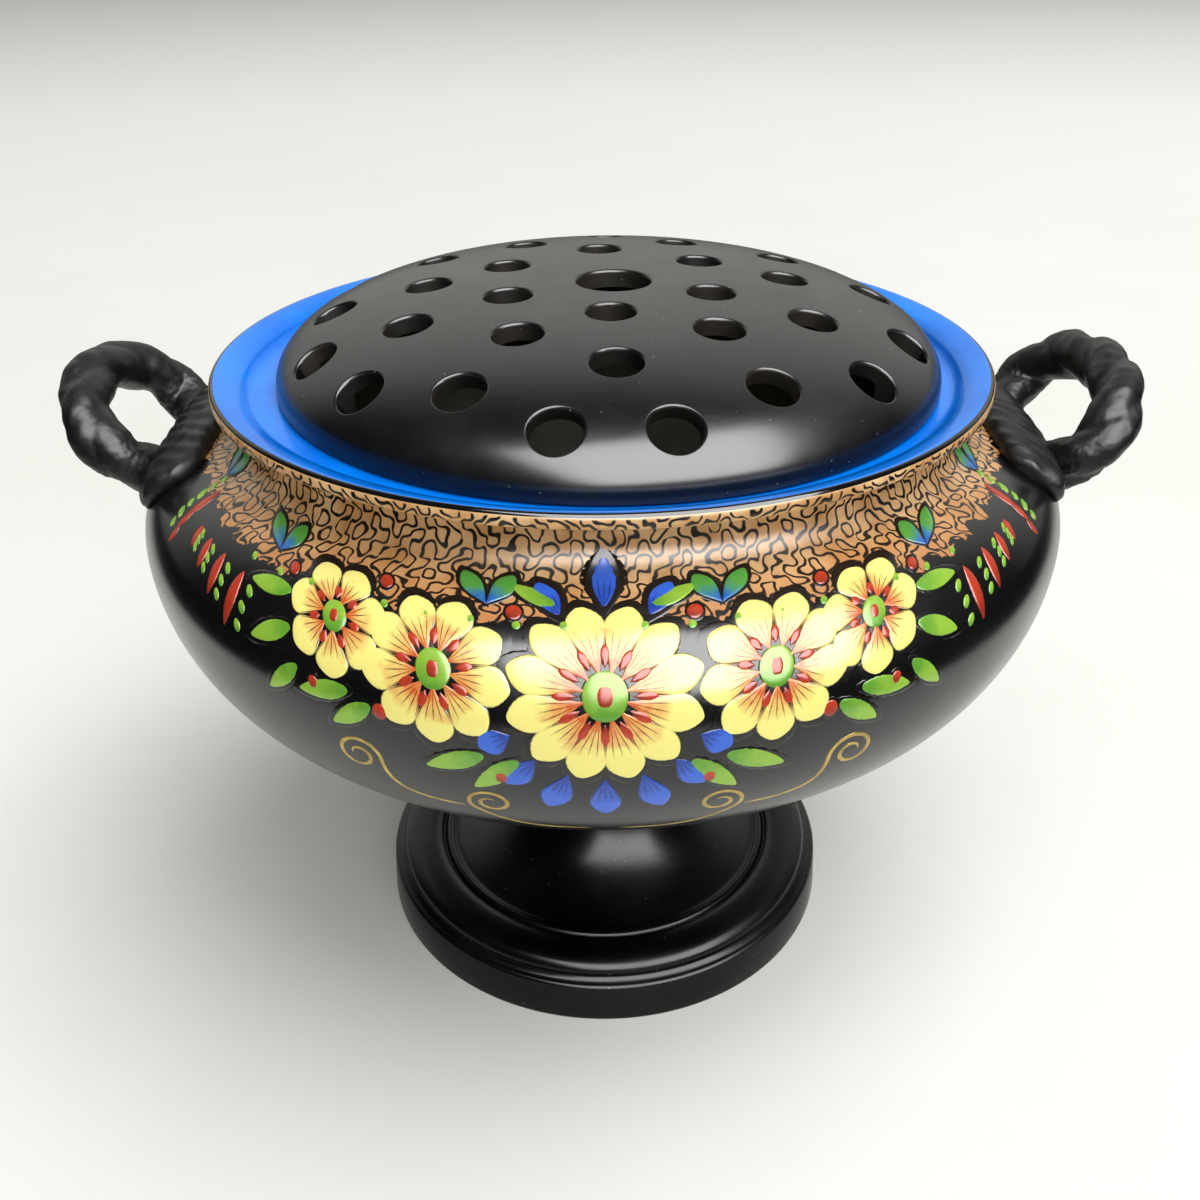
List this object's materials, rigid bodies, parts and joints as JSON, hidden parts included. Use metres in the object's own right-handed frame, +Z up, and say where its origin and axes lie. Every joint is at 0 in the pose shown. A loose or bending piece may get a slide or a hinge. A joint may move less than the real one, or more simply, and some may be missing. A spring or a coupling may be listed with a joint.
{
  "type": "rose bowl",
  "caption": "Shouldered pottery bowl on a turned pedestal foot, with two twisted rope handles and a domed, pierced flower grid that lifts off.",
  "frame": {"origin": "centre of the foot's underside, on the surface that it stands on", "axes": "+X towards the right handle as seen from the front, +Z up, so that -Y is the front"},
  "size_m": [0.285, 0.2448, 0.1979],
  "materials": {
    "bowl_glaze": "black gloss glaze with enamelled decoration outside, azure blue glaze inside",
    "foot_glaze": "black satin glaze",
    "grid_glaze": "black satin glaze",
    "handle_glaze": "black gloss glaze"
  },
  "bodies": {
    "bowl": {"bowl_body": "bowl_glaze", "pedestal_foot": "foot_glaze", "handle_right_strip": "handle_glaze", "handle_left_strip": "handle_glaze", "handle_right_strand_a": "handle_glaze", "handle_right_strand_b": "handle_glaze", "handle_left_strand_a": "handle_glaze", "handle_left_strand_b": "handle_glaze"},
    "grid": {"flower_grid": "grid_glaze"}
  },
  "joints": [
    {"name": "grid_lift", "type": "slide", "parent": "bowl", "child": "grid", "axis": [0, 0, 1], "range_m": [0, 0.04]}
  ]
}
